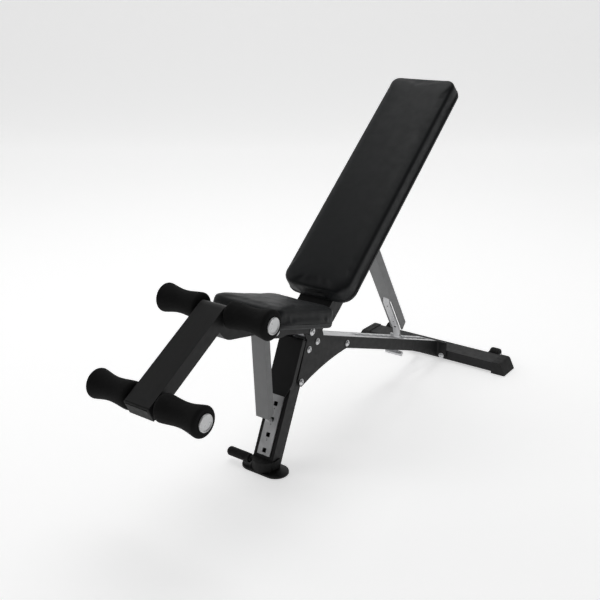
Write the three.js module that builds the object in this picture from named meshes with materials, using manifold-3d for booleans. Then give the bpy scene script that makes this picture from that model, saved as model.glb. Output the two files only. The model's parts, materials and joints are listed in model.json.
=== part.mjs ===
// Adjustable weight bench: a leaning front post, two side plates round a ladder rail, a rear cross tube,
// a reclining back pad on a strut, and a tilting seat pad that carries a leg hold-down arm.
// Millimetres. +X is the sitter's left, +Y runs from the leg rollers to the rear tube, +Z is up.
import * as THREE from "three";
import { mergeVertices } from "three/addons/utils/BufferGeometryUtils.js";
import { RoundedBoxGeometry } from "three/addons/geometries/RoundedBoxGeometry.js";
import Module from "manifold-3d";

const wasm = await Module();
wasm.setup();

// ---- driving dimensions -------------------------------------------------------------------------
const GAP = 0.3; // clearance between pieces that touch
const RUNNING = 0.4; // radial clearance of turning fits

// Stations are measured from the middle of the front foot, before the whole bench is centred.
const POST = { front: -27.7, lean: 0.4487, width: 70, depth: 45.5, length: 400, wall: 3 };
const LADDER = { width: 44, thickness: 4, from: 52, to: 236, holes: 4, hole: 13, firstZ: 60, lastZ: 185 };
const FOOT = { x: 37.6, radius: 38, thickness: 7 };
const HANDLE = { bar: 8, y: -18, z: 28 };
const BOOT = { radius: 36, top: 37, back: 20 };
const PLATE = { inner: 36, outer: 41, flangeX: 76, bend: 8 };
const RAIL = { y: 231.5, z: 347.4, slope: 0.363, from: -45, to: 798, halfWidth: 35.7, depth: 38, wall: 3 };
const SLOT = { from: 240, to: 790, halfWidth: 14, pitch: 44.5, first: 281.7, notch: 12, notchHalf: 26 };
const TUBE = { front: 992, back: 1073, bottom: 6.5, top: 41, halfLength: 262, wall: 3 };
const CAP = { start: 256, topCorner: 288, bottomCorner: 310, front: 989, back: 1076, top: 43.5 };
const WHEEL = { y: 1102.5, z: 25.3, radius: 24.5, inner: 203.5, outer: 237.5 };
const BACK = { y: 229.2, z: 396.2, tilt: THREE.MathUtils.degToRad(40.5) };
const BACK_PAD = { start: 57.8, length: 832, width: 229, base: 15, board: 12, top: 79 };
const SEAT = { y: 150, z: 390, tilt: THREE.MathUtils.degToRad(-16.5) };
const SEAT_PAD = { start: -263, length: 285, width: 230, base: 21.5, board: 12, top: 79 };
const CHANNEL = { outer: 57.5, wall: 3 }; // both pads sit on folded channels of this width
const SPINE = { halfWidth: 30, top: 11, bottom: -29, from: 66, to: 800, wall: 3 };
const BACK_STRUT = { y: 338.6, z: -47, angle: THREE.MathUtils.degToRad(-57.9 - 40.5), length: 447 };
const SEAT_STRUT = { y: -172.7, z: 4.1, angle: THREE.MathUtils.degToRad(-86.56 + 16.5), length: 276 };
const STRUT = { halfWidth: 23, wall: 3 };
const LOCK = { y: 473.96, z: -24.86 }; // the lock pin's place along the back strut
const ARM = { y: -365, z: 52, halfWidth: 40, span: 291.9, under: -14, over: 26, wall: 3 };
const ARM_ANGLE = THREE.MathUtils.degToRad(31.3 + 16.5); // the arm's rise towards the seat, in its frame
const ROLLER = { inner: 46, outer: 178, bar: 10, bore: 10.6, endRadius: 39, innerRadius: 36, waist: 31 };
const PIN_RADIUS = 6;

// ---- finishes -----------------------------------------------------------------------------------
const FINISH = {
  black: { color: 0x242425, roughness: 0.5, metalness: 0.2 },
  silver: { color: 0x8a8b8c, roughness: 0.42, metalness: 0.5 },
  zinc: { color: 0xc4c4c6, roughness: 0.35, metalness: 0.8 },
  vinyl: { color: 0x1c1d1f, roughness: 0.55, metalness: 0 },
  foam: { color: 0x1b1b1c, roughness: 0.85, metalness: 0 },
  rubber: { color: 0x333333, roughness: 0.75, metalness: 0 },
  wood: { color: 0x8a6a45, roughness: 0.8, metalness: 0 },
  cap: { color: 0xe6e6e6, roughness: 0.35, metalness: 0 },
};

// ---- solid helpers ------------------------------------------------------------------------------
function solid(geometry) {
  const bare = geometry.index ? geometry.clone() : geometry;
  bare.deleteAttribute("normal");
  bare.deleteAttribute("uv");
  const merged = mergeVertices(bare, 1e-4);
  const triVerts = new Uint32Array(merged.index.array);
  const vertProperties = merged.attributes.position.array;
  return new wasm.Manifold(new wasm.Mesh({ numProp: 3, vertProperties, triVerts }));
}

function geometryOf(manifold) {
  const mesh = manifold.getMesh();
  const geometry = new THREE.BufferGeometry();
  geometry.setAttribute("position", new THREE.BufferAttribute(mesh.vertProperties, 3));
  geometry.setIndex(new THREE.BufferAttribute(mesh.triVerts, 1));
  return geometry;
}

function join(...geometries) {
  return geometryOf(geometries.map(solid).reduce((sum, piece) => sum.add(piece)));
}

function cut(geometry, ...tools) {
  return geometryOf(tools.reduce((rest, tool) => rest.subtract(solid(tool)), solid(geometry)));
}

function keep(geometry, region) {
  return geometryOf(solid(geometry).intersect(solid(region)));
}

// An outline through [a, b] or [a, b, cornerRadius] points.
function outline(points) {
  const shape = new THREE.Shape();
  points.forEach(([x, y, radius = 0], i) => {
    const here = new THREE.Vector2(x, y);
    const before = new THREE.Vector2(...points[(i + points.length - 1) % points.length].slice(0, 2));
    const after = new THREE.Vector2(...points[(i + 1) % points.length].slice(0, 2));
    const start = here.clone().add(before.sub(here).setLength(radius || 1e-9));
    const end = here.clone().add(after.sub(here).setLength(radius || 1e-9));
    if (i === 0) shape.moveTo(radius ? start.x : x, radius ? start.y : y);
    else shape.lineTo(radius ? start.x : x, radius ? start.y : y);
    if (radius) shape.quadraticCurveTo(x, y, end.x, end.y);
  });
  return shape;
}

function disc(y, z, radius) {
  return new THREE.Shape().absarc(y, z, radius, 0, 2 * Math.PI);
}

const SIDEWAYS = new THREE.Matrix4().makeBasis(
  new THREE.Vector3(0, 1, 0),
  new THREE.Vector3(0, 0, 1),
  new THREE.Vector3(1, 0, 0),
);

// A side outline of (y, z) points, extruded from x0 to x1.
function profile(shape, x0, x1, curveSegments = 5) {
  const drawn = Array.isArray(shape) ? outline(shape) : shape;
  const options = { depth: x1 - x0, bevelEnabled: false, curveSegments };
  return new THREE.ExtrudeGeometry(drawn, options).applyMatrix4(SIDEWAYS).translate(x0, 0, 0);
}

// A plan outline of (x, y) points, extruded from z0 to z1.
function plan(shape, z0, z1, curveSegments = 8) {
  const drawn = Array.isArray(shape) ? outline(shape) : shape;
  const options = { depth: z1 - z0, bevelEnabled: false, curveSegments };
  return new THREE.ExtrudeGeometry(drawn, options).translate(0, 0, z0);
}

// A front outline of (x, z) points, extruded from y0 to y1.
function front(points, y0, y1) {
  const options = { depth: y1 - y0, bevelEnabled: false, curveSegments: 5 };
  return new THREE.ExtrudeGeometry(outline(points), options).rotateX(Math.PI / 2).translate(0, y1, 0);
}

function block(x0, x1, y0, y1, z0, z1) {
  const box = new THREE.BoxGeometry(x1 - x0, y1 - y0, z1 - z0);
  return box.translate((x0 + x1) / 2, (y0 + y1) / 2, (z0 + z1) / 2);
}

function rod(radius, x0, x1, y = 0, z = 0, sides = 14) {
  const bar = new THREE.CylinderGeometry(radius, radius, x1 - x0, sides).rotateZ(-Math.PI / 2);
  return bar.translate((x0 + x1) / 2, y, z);
}

// A turned piece about an X axis: points are [x, radius], in order of growing x on the outside.
function turned(points, y = 0, z = 0, sides = 20) {
  const line = points.map(([x, radius]) => new THREE.Vector2(radius, x));
  return new THREE.LatheGeometry(line, sides).rotateZ(-Math.PI / 2).rotateX(Math.PI / 2).translate(0, y, z);
}

function sleeve(inner, outer, x0, x1, y = 0, z = 0) {
  return cut(rod(outer, x0, x1, y, z), rod(inner, x0 - 1, x1 + 1, y, z));
}

// A pin or bolt across the bench with a domed head at each end.
function bolt(radius, reach, head, y = 0, z = 0) {
  const dome = [
    [-reach - 5, 0],
    [-reach - 5, head * 0.55],
    [-reach - 2.5, head],
    [-reach, head],
    [-reach, radius],
  ];
  const mirrored = dome.map(([x, r]) => [-x, r]).reverse();
  return turned([...dome, ...mirrored], y, z, 14);
}

// A flat bar of the given thickness along a chain of (y, z) points.
function ribbon(points, thickness, x0, x1) {
  const chain = points.map(([y, z]) => new THREE.Vector2(y, z));
  const normals = chain.map((p, i) => {
    const back = i > 0 ? p.clone().sub(chain[i - 1]).normalize() : null;
    const ahead = i < chain.length - 1 ? chain[i + 1].clone().sub(p).normalize() : null;
    const along = back && ahead ? back.clone().add(ahead).normalize() : back || ahead;
    const mitre = back && ahead ? back.dot(along) : 1;
    return new THREE.Vector2(-along.y, along.x).multiplyScalar(thickness / 2 / mitre);
  });
  const left = chain.map((p, i) => p.clone().add(normals[i]).toArray());
  const right = chain.map((p, i) => p.clone().sub(normals[i]).toArray());
  return profile([...left, ...right.reverse()], x0, x1);
}

function add(group, name, geometry, finish) {
  const mesh = new THREE.Mesh(geometry, new THREE.MeshStandardMaterial(FINISH[finish]));
  mesh.name = name;
  group.add(mesh);
}

function mirrorX(geometry) {
  const flipped = solid(geometry).mirror([1, 0, 0]);
  return geometryOf(flipped);
}

function addPair(group, name, geometry, finish) {
  add(group, `${name}_left`, geometry, finish);
  add(group, `${name}_right`, mirrorX(geometry), finish);
}

// ---- front post ---------------------------------------------------------------------------------
const POST_LEAN = Math.atan(POST.lean);

// Turns a shape drawn along the post (y into the post, z up along it) to its place.
function leaned(geometry) {
  return geometry.rotateX(-POST_LEAN).translate(0, POST.front, 0);
}

// Distance along the post of a height above the floor, on its front face.
const alongPost = (z) => z / Math.cos(POST_LEAN);

function postWindows() {
  const step = (LADDER.lastZ - LADDER.firstZ) / (LADDER.holes - 1);
  const half = LADDER.hole / 2;
  return Array.from({ length: LADDER.holes }, (_, i) => {
    const middle = alongPost(LADDER.firstZ + i * step);
    return leaned(block(-half, half, -9, 9, middle - half, middle + half));
  });
}

function frontPost(boltHoles) {
  const half = POST.width / 2;
  const inside = half - POST.wall;
  const outer = leaned(block(-half, half, 0, POST.depth, -60, POST.length));
  const core = leaned(block(-inside, inside, POST.wall, POST.depth - POST.wall, -70, POST.length + 10));
  const floor = block(-100, 100, -200, 200, -100, FOOT.thickness + GAP);
  return cut(outer, core, floor, ...postWindows(), ...boltHoles);
}

function footPlate() {
  const side = FOOT.x;
  const shape = new THREE.Shape();
  shape.absarc(side, 0, FOOT.radius, -Math.PI / 2, Math.PI / 2);
  shape.absarc(-side, 0, FOOT.radius, Math.PI / 2, 1.5 * Math.PI);
  return plan(shape, 0, FOOT.thickness, 12);
}

function footBoot() {
  const shape = new THREE.Shape();
  const out = BOOT.radius + 3;
  shape.absarc(0, 0, out, Math.PI, 2 * Math.PI);
  shape.lineTo(out, BOOT.back);
  shape.lineTo(-out, BOOT.back);
  const body = plan(shape, FOOT.thickness + GAP, BOOT.top, 12);
  const half = POST.width / 2 + GAP;
  const room = leaned(block(-half, half, -GAP, POST.depth + 80, -60, POST.length));
  return cut(body, room, rod(HANDLE.bar + GAP, -80, -34, HANDLE.y, HANDLE.z));
}

function postCover() {
  const half = PLATE.outer;
  const inner = POST.width / 2 + GAP;
  const near = -LADDER.thickness - 4;
  const top = alongPost(370) - 8;
  const low = alongPost(209);
  const shoulder = alongPost(238);
  const wrap = leaned(block(-half, half, near, 9, low, top));
  const room = leaned(block(-inner, inner, -LADDER.thickness - 1, 20, low - 5, top + 5));
  const chin = [1, -1].map((side) => {
    const corner = [
      [side * 60, low - 20],
      [side * 60, shoulder + 8],
      [side * (half + 0.5), shoulder + 8],
      [side * 27, low - 0.5],
      [side * 27, low - 20],
    ];
    return leaned(front(corner, near - 10, 20));
  });
  return cut(wrap, room, ...chin);
}

// ---- side plates and rail -----------------------------------------------------------------------
const BOLTS = [
  [200, 339],
  [158, 328],
  [119, 240],
  [360, 279],
];
const BOLT_RADIUS = 5;

const railTop = (y) => RAIL.z - RAIL.slope * (y - RAIL.y);

function plateOutline() {
  const shape = new THREE.Shape();
  shape.moveTo(104, 252);
  shape.lineTo(148, 361);
  shape.lineTo(140, 376);
  shape.lineTo(163, 384);
  shape.lineTo(170, 368);
  shape.lineTo(206, 370);
  shape.lineTo(216, 388);
  shape.lineTo(242, 388);
  shape.lineTo(226, 366);
  shape.lineTo(232, railTop(232));
  shape.lineTo(845, railTop(845));
  shape.lineTo(991, 72);
  shape.lineTo(991, 12);
  shape.lineTo(787, 104);
  shape.lineTo(360, 263.5);
  shape.quadraticCurveTo(235, 262, 120, 224);
  return shape;
}

// The plate's run seen from above: straight along the rail, then bent outwards against the rear tube.
function platePlan() {
  const { inner, outer, flangeX, bend } = PLATE;
  const thickness = outer - inner;
  const face = TUBE.front - GAP - 2;
  const shape = new THREE.Shape();
  shape.moveTo(inner, 60);
  shape.lineTo(outer, 60);
  shape.lineTo(outer, face - thickness - bend);
  shape.absarc(outer + bend, face - thickness - bend, bend, Math.PI, Math.PI / 2, true);
  shape.lineTo(flangeX, face - thickness);
  shape.lineTo(flangeX, face);
  shape.lineTo(outer + bend, face);
  shape.absarc(outer + bend, face - thickness - bend, bend + thickness, Math.PI / 2, Math.PI, false);
  return shape;
}

const REAR_BOLT = { x: 59, z: 20 };

function sidePlate() {
  const { inner, outer } = PLATE;
  const run = keep(plan(platePlan(), -5, 420), profile(plateOutline(), 0, 120, 5));
  const bossEnd = CHANNEL.outer - CHANNEL.wall - 2 * GAP;
  const eyes = [
    profile(disc(SEAT.y, SEAT.z, 15.5), inner, outer, 9),
    profile(disc(BACK.y, BACK.z, 17), inner, outer, 9),
    rod(11, inner + 1, bossEnd, SEAT.y, SEAT.z),
    rod(11, inner + 1, bossEnd, BACK.y, BACK.z),
  ];
  const bores = [...BOLTS.map(([y, z]) => rod(BOLT_RADIUS + RUNNING, 30, 50, y, z))];
  bores.push(rod(PIN_RADIUS + RUNNING, 30, 60, SEAT.y, SEAT.z));
  bores.push(rod(PIN_RADIUS + RUNNING, 30, 60, BACK.y, BACK.z));
  const window = profile(new THREE.Shape().absellipse(190, 286, 20, 10, 0, 7, false, 1.1), 30, 50, 6);
  const flangeHole = rod(BOLT_RADIUS + RUNNING, -20, 20).rotateZ(Math.PI / 2);
  flangeHole.translate(REAR_BOLT.x, TUBE.front, REAR_BOLT.z);
  return cut(join(run, ...eyes), window, flangeHole, ...bores);
}

// Rail shapes are drawn in the rail's own frame: y along its top face, z square to it.
function onRail(geometry) {
  return geometry.rotateX(-Math.atan(RAIL.slope)).translate(0, RAIL.y, RAIL.z);
}

function ladderRail() {
  const half = RAIL.halfWidth;
  const inside = half - RAIL.wall;
  const body = onRail(block(-half, half, RAIL.from, RAIL.to, -RAIL.depth, 0));
  const room = onRail(block(-inside, inside, RAIL.from - 5, RAIL.to + 5, -RAIL.depth - 5, -RAIL.wall));
  const slot = onRail(block(-SLOT.halfWidth, SLOT.halfWidth, SLOT.from, SLOT.to, -10, 10));
  const count = Math.floor((SLOT.to - SLOT.first) / SLOT.pitch);
  const notches = Array.from({ length: count + 1 }, (_, i) => {
    const y = SLOT.first + i * SLOT.pitch;
    return onRail(block(-SLOT.notchHalf, SLOT.notchHalf, y - SLOT.notch / 2, y + SLOT.notch / 2, -10, 10));
  });
  const bores = BOLTS.map(([y, z]) => rod(BOLT_RADIUS + RUNNING, -50, 50, y, z));
  return cut(body, room, slot, ...notches, ...bores);
}

// ---- rear foot ----------------------------------------------------------------------------------
function crossTube() {
  const { front: y0, back: y1, bottom, top, halfLength, wall } = TUBE;
  const body = block(-halfLength, halfLength, y0, y1, bottom, top);
  const core = block(-halfLength - 5, halfLength + 5, y0 + wall, y1 - wall, bottom + wall, top - wall);
  const holes = [1, -1].map((side) => {
    const hole = rod(BOLT_RADIUS + RUNNING, -10, 10).rotateZ(Math.PI / 2);
    return hole.translate(side * REAR_BOLT.x, y0, REAR_BOLT.z);
  });
  return cut(body, core, ...holes);
}

function tubeCap() {
  const shell = front(
    [
      [CAP.start, 0],
      [CAP.bottomCorner, 0, 5],
      [CAP.topCorner, CAP.top, 7],
      [CAP.start, CAP.top],
    ],
    CAP.front,
    CAP.back,
  );
  const { front: y0, back: y1, bottom, top, halfLength } = TUBE;
  const room = block(
    CAP.start - 5,
    halfLength + GAP,
    y0 - GAP,
    y1 + GAP,
    bottom - GAP,
    top + GAP,
  );
  return cut(shell, room);
}

function rearBolt() {
  const head = [
    [0, 0],
    [0, 5],
    [2.5, 9],
    [5, 9],
    [5, BOLT_RADIUS],
    [24, BOLT_RADIUS],
    [24, 0],
  ];
  const start = TUBE.front - 2 - 5 - 2 * GAP - 5;
  return turned(head, 0, 0, 14).rotateZ(Math.PI / 2).translate(REAR_BOLT.x, start, REAR_BOLT.z);
}

function wheelBracket() {
  const { y, z, inner, outer } = WHEEL;
  const wall = 3.5;
  const back = TUBE.back + GAP;
  const base = block(inner - 1.2 - wall, outer + 1.2 + wall, back, back + wall, 10, 38);
  const ear = [
    [back, 12],
    [y - 2, z - 12, 4],
    [y + 10, z - 4, 5],
    [y + 10, z + 9, 5],
    [back, 36],
  ];
  const ears = [
    profile(ear, inner - 1.2 - wall, inner - 1.2),
    profile(ear, outer + 1.2, outer + 1.2 + wall),
  ];
  return cut(join(base, ...ears), rod(4 + RUNNING, inner - 20, outer + 20, y, z));
}

function wheelAxle() {
  const { y, z, inner, outer } = WHEEL;
  const points = [
    [inner - 9, 0],
    [inner - 9, 6.5],
    [inner - 5.2, 6.5],
    [inner - 5.2, 4],
    [outer + 5.2, 4],
    [outer + 5.2, 6.5],
    [outer + 9, 6.5],
    [outer + 9, 0],
  ];
  return turned(points, y, z, 16);
}

function transportWheel() {
  const { y, z, inner, outer, radius } = WHEEL;
  const points = [
    [inner, 4 + RUNNING],
    [inner, radius - 3],
    [inner + 3, radius],
    [outer - 3, radius],
    [outer, radius - 3],
    [outer, 4 + RUNNING],
    [inner, 4 + RUNNING],
  ];
  return turned(points, y, z, 24);
}

// ---- pivots shared by both pads -----------------------------------------------------------------
function addPivot(frameGroup, sleeveGroup, name, { y, z }) {
  add(frameGroup, `${name}_pivot_bolt`, bolt(PIN_RADIUS, CHANNEL.outer + GAP, 11, y, z), "zinc");
  const tube = sleeve(PIN_RADIUS + RUNNING, 10.5, GAP - PLATE.inner, PLATE.inner - GAP);
  add(sleeveGroup, `${name}_pivot_tube`, tube, "zinc");
}

// ---- backrest, drawn in its own frame: y along the pad, z out of its face ------------------------
function backBracket() {
  const { outer, wall } = CHANNEL;
  const under = BACK_PAD.base - 0.6;
  const side = [
    [-18, -4, 7],
    [10, -24, 10],
    [60, -26],
    [196, -26, 14],
    [214, under],
    [57.2, under],
    [57.2, 28, 4],
    [18, 28, 10],
    [-18, 12, 7],
  ];
  const body = profile(side, -outer, outer);
  const inside = outer - wall;
  const front = profile(
    [
      [-40, -60],
      [300, -60],
      [300, under - wall],
      [54.2, under - wall],
      [54.2, 25],
      [6, 25],
      [6, 60],
      [-40, 60],
    ],
    -inside,
    inside,
  );
  return cut(body, front, rod(PIN_RADIUS + RUNNING, -70, 70));
}

function backSpine() {
  const { halfWidth, top, bottom, from, to, wall } = SPINE;
  const body = block(-halfWidth, halfWidth, from, to, bottom, top);
  const inner = halfWidth - wall;
  const core = block(-inner, inner, from - 5, to + 5, bottom + wall, top - wall);
  const bore = rod(PIN_RADIUS + RUNNING, -40, 40, BACK_STRUT.y, BACK_STRUT.z);
  return cut(join(cut(body, core), strutEar(), mirrorX(strutEar())), bore);
}

function crossPlate(y) {
  const under = BACK_PAD.base - 0.4;
  const strap = ribbon([[-16, 0], [16, 0]], 3, -80, 80);
  return strap.translate(0, y, under - 1.7);
}

function strutEar() {
  const { y, z } = BACK_STRUT;
  const top = SPINE.bottom + 1;
  const ear = [
    [y - 26, top],
    [y - 14, z - 12, 10],
    [y + 14, z - 12, 10],
    [y + 26, top],
  ];
  return profile(ear, 24, 29);
}

function padSolid({ start, length, width, base, board, top }) {
  const thickness = top - base - board - GAP;
  const body = new RoundedBoxGeometry(width, length, thickness, 3, 14);
  return body.translate(0, start + length / 2, top - thickness / 2);
}

function padBoard({ start, length, width, base, board }) {
  const inset = 6;
  const half = width / 2 - inset;
  const shape = outline([
    [-half, start + inset, 26],
    [half, start + inset, 26],
    [half, start + length - inset, 22],
    [-half, start + length - inset, 22],
  ]);
  return plan(shape, base, base + board, 4);
}

// ---- struts, drawn down their own length from the pin at the top ---------------------------------
function strutChannel(depth, length, slantEnd) {
  const { halfWidth, wall } = STRUT;
  const half = depth / 2;
  const side = [
    [-half, -half, half * 0.98],
    [-half, half, half * 0.98],
    [length - slantEnd, half, 4],
    [length, -half],
  ];
  const body = profile(side, -halfWidth, halfWidth);
  const inner = halfWidth - wall;
  const room = block(-inner, inner, -depth, length + 20, -half + wall, depth);
  const topRoom = block(-inner, inner, -depth, 12, -depth, depth);
  return cut(body, room, topRoom, rod(PIN_RADIUS + RUNNING, -40, 40));
}

function backStrutChannel() {
  const arch = new THREE.Shape();
  arch.moveTo(-17, 470);
  arch.lineTo(-17, 300);
  arch.absarc(0, 300, 17, Math.PI, 2 * Math.PI);
  arch.lineTo(17, 470);
  return cut(strutChannel(30, BACK_STRUT.length, 8), plan(arch, -40, 0, 8));
}

function strutTongue() {
  const bar = ribbon([[258, -7.5], [290, -7.5], [307, -16], [446, -16], [480, -28.5], [512, -70]], 7, -12, 12);
  const eye = rod(9, -12, 12, 512, -70);
  const catchHole = rod(5.3, -20, 20, 512, -70);
  const lockPin = rod(5, -26, 26, LOCK.y, LOCK.z);
  return cut(join(bar, eye, lockPin), catchHole);
}

function catchRoller() {
  const points = [
    [-31, 0],
    [-31, 9],
    [-13, 9],
    [-13, 4.8],
    [13, 4.8],
    [13, 9],
    [31, 9],
    [31, 0],
  ];
  return turned(points, 512, -70, 20);
}

function seatHook() {
  const bar = ribbon([[236, -4], [276, 2], [299, 16], [299.3, 25.2]], 8, -5.5, 5.5);
  return bar;
}

// ---- seat, drawn in its own frame: y along the pad, z out of its face ----------------------------
function seatChannel() {
  const { outer, wall } = CHANNEL;
  const top = SEAT_PAD.base - GAP;
  const side = [
    [-222, top],
    [-222, 2, 6],
    [-190, -14, 12],
    [-150, -14, 12],
    [-120, -5, 12],
    [26, -5, 8],
    [39, 8, 4],
    [36, 14],
    [2, top],
  ];
  const body = profile(side, -outer, outer);
  const inside = outer - wall;
  const room = profile(
    [
      [-230, -40],
      [80, -40],
      [80, 60],
      [2, 60],
      [2, top - wall],
      [-230, top - wall],
    ],
    -inside,
    inside,
  );
  const pivots = [rod(PIN_RADIUS + RUNNING, -70, 70)];
  pivots.push(rod(PIN_RADIUS + RUNNING, -70, 70, SEAT_STRUT.y, SEAT_STRUT.z));
  return cut(body, room, ...pivots);
}

// A point of the arm's own frame, given in the seat's frame.
function onArm(y, z) {
  const cos = Math.cos(ARM_ANGLE);
  const sin = Math.sin(ARM_ANGLE);
  return [ARM.y + y * cos - z * sin, ARM.z + y * sin + z * cos];
}

function armNeck() {
  const near = SEAT_PAD.base - GAP - CHANNEL.wall - GAP;
  const side = [
    onArm(12, ARM.under - GAP),
    onArm(-46, ARM.under - GAP),
    [-345, -20, 20],
    [-214, -8],
    [-214, near],
    [-286, near, 16],
  ];
  const inner = [
    onArm(9, ARM.under - GAP - 3),
    onArm(-43, ARM.under - GAP - 3),
    [-344, -17, 18],
    [-200, -4.8],
    [-200, near - 3],
    [-287, near - 3, 14],
  ];
  return cut(profile(side, -30, 30), profile(inner, -27, 27));
}

// The arm is drawn down -y from the upper bar's axis, with z out of its upper face.
function legArm() {
  const { halfWidth, span, under, over } = ARM;
  const side = [
    [14, under, 3],
    [14, over, 22],
    [-span - 28, over, 3],
    [-span - 34, under, 3],
  ];
  const body = profile(side, -halfWidth, halfWidth);
  const inside = halfWidth - ARM.wall;
  const core = block(-inside, inside, -span - 60, -4, under + ARM.wall, over - ARM.wall);
  const bores = [0, -span].map((y) => rod(ROLLER.bar + GAP, -60, 60, y, 0));
  return cut(body, core, ...bores);
}

function legArmCap() {
  const { halfWidth, span, under, over, wall } = ARM;
  const side = [
    [-span - 28 - GAP, over],
    [-span - 34 - GAP, under],
    [-span - 36 - GAP, under, 1.5],
    [-span - 31 - GAP, over, 1.5],
  ];
  const plate = profile(side, -halfWidth, halfWidth);
  const fit = wall + GAP;
  const plug = block(-halfWidth + fit, halfWidth - fit, -span - 34, -span - 14, under + fit, over - fit);
  return join(plate, plug);
}

function rollerBar(y) {
  return rod(ROLLER.bar, -ROLLER.outer - 1, ROLLER.outer + 1, y, 0, 20);
}

function foamRoller(y) {
  const { inner, outer, endRadius, innerRadius, waist, bore } = ROLLER;
  const steps = 6;
  const skin = Array.from({ length: steps + 1 }, (_, i) => {
    const t = i / steps;
    const end = innerRadius + (endRadius - innerRadius) * t;
    const dip = (end - waist) * Math.sin(Math.PI * t) ** 1.3;
    return [inner + 4 + (outer - inner - 10) * t, end - dip];
  });
  const points = [[inner, bore], [inner, innerRadius - 7], ...skin, [outer, endRadius - 9], [outer, bore]];
  return turned([...points, points[0]], y, 0);
}

function barEnd(y) {
  const from = ROLLER.outer + GAP;
  const points = [
    [from, ROLLER.bar + GAP],
    [from, 22],
    [from + 2.5, 22],
    [from + 4, 20.5],
    [from + 4, 16],
    [from + 2.5, 13],
    [from + 2.5, 0],
  ];
  const socket = rod(ROLLER.bar + GAP, from - 1, from + 1.2, y, 0);
  return cut(turned([[from, 0], ...points.slice(1)], y, 0), socket);
}

// ---- assembly -----------------------------------------------------------------------------------
const bench = new THREE.Group();

function placed(parent, { y, z }, angle = 0) {
  const group = new THREE.Group();
  group.position.set(0, y, z);
  group.rotation.x = angle;
  parent.add(group);
  return group;
}

function addFrame(group) {
  const bores = BOLTS.map(([y, z]) => rod(BOLT_RADIUS + RUNNING, -60, 60, y, z));
  add(group, "front_post", frontPost(bores), "black");
  const strip = leaned(
    block(-LADDER.width / 2, LADDER.width / 2, -LADDER.thickness - GAP, -GAP, LADDER.from, LADDER.to),
  );
  add(group, "post_ladder_plate", cut(strip, ...postWindows()), "zinc");
  add(group, "post_cover", postCover(), "black");
  add(group, "front_foot_plate", footPlate(), "black");
  add(group, "front_foot_boot", footBoot(), "rubber");
  const { bar, y: handleY, z: handleZ } = HANDLE;
  add(group, "lift_handle_bar", rod(bar, -112, -35, handleY, handleZ), "black");
  const grip = cut(
    turned([[-122, 0], [-121, 7], [-118, 11], [-112, 14], [-41, 14], [-41, 0]], handleY, handleZ),
    rod(bar + GAP, -112 - GAP, -30, handleY, handleZ),
  );
  add(group, "lift_handle_grip", grip, "rubber");
  addPair(group, "side_plate", sidePlate(), "black");
  add(group, "ladder_rail", ladderRail(), "zinc");
  BOLTS.forEach(([y, z], i) => {
    add(group, `frame_bolt_${i + 1}`, bolt(BOLT_RADIUS, PLATE.outer + GAP, 9, y, z), "zinc");
  });
}

function addRear(group) {
  add(group, "rear_cross_tube", crossTube(), "black");
  addPair(group, "rear_cap", tubeCap(), "rubber");
  addPair(group, "rear_bolt", rearBolt(), "zinc");
  addPair(group, "wheel_bracket", wheelBracket(), "black");
  addPair(group, "wheel_axle", wheelAxle(), "zinc");
  addPair(group, "transport_wheel", transportWheel(), "rubber");
}

function addBackrest(group) {
  add(group, "back_hinge_bracket", backBracket(), "black");
  add(group, "back_spine", backSpine(), "black");
  add(group, "back_cross_plate_lower", crossPlate(440), "black");
  add(group, "back_cross_plate_upper", crossPlate(740), "black");
  add(group, "back_board", padBoard(BACK_PAD), "wood");
  add(group, "back_pad", padSolid(BACK_PAD), "vinyl");
  const pin = bolt(PIN_RADIUS, 29 + GAP, 10, BACK_STRUT.y, BACK_STRUT.z);
  add(group, "back_strut_pin", pin, "zinc");
  const strut = placed(group, BACK_STRUT, BACK_STRUT.angle);
  add(strut, "back_strut", backStrutChannel(), "silver");
  add(strut, "back_strut_tongue", strutTongue(), "zinc");
  add(strut, "back_strut_catch", catchRoller(), "zinc");
}

function addSeat(group) {
  add(group, "seat_channel", seatChannel(), "black");
  add(group, "seat_board", padBoard(SEAT_PAD), "wood");
  add(group, "seat_pad", padSolid(SEAT_PAD), "vinyl");
  const pin = bolt(PIN_RADIUS, CHANNEL.outer + GAP, 10, SEAT_STRUT.y, SEAT_STRUT.z);
  add(group, "seat_strut_pin", pin, "zinc");
  const strut = placed(group, SEAT_STRUT, SEAT_STRUT.angle);
  add(strut, "seat_strut", strutChannel(24, SEAT_STRUT.length, 8), "silver");
  add(strut, "seat_strut_hook", seatHook(), "zinc");
  add(group, "leg_arm_neck", armNeck(), "black");
  const arm = placed(group, ARM, ARM_ANGLE);
  add(arm, "leg_arm", legArm(), "black");
  add(arm, "leg_arm_cap", legArmCap(), "rubber");
  const bars = { upper: 0, lower: -ARM.span };
  Object.entries(bars).forEach(([level, y]) => {
    add(arm, `roller_bar_${level}`, rollerBar(y), "zinc");
    addPair(arm, `foam_roller_${level}`, foamRoller(y), "foam");
    addPair(arm, `bar_end_${level}`, barEnd(y), "cap");
  });
}

addFrame(bench);
addRear(bench);
const back = placed(bench, BACK, BACK.tilt);
const seat = placed(bench, SEAT, SEAT.tilt);
addPivot(bench, back, "back", BACK);
addPivot(bench, seat, "seat", SEAT);
addBackrest(back);
addSeat(seat);

// The origin lies on the floor, under the middle of the bench's length.
const extent = new THREE.Box3().setFromObject(bench, true);
bench.position.y = -(extent.min.y + extent.max.y) / 2;
const part = new THREE.Group();
part.add(bench);

export default part;
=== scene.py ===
import json
import math

import bmesh
import bpy
from mathutils import Matrix, Vector
from mathutils.bvhtree import BVHTree


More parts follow.
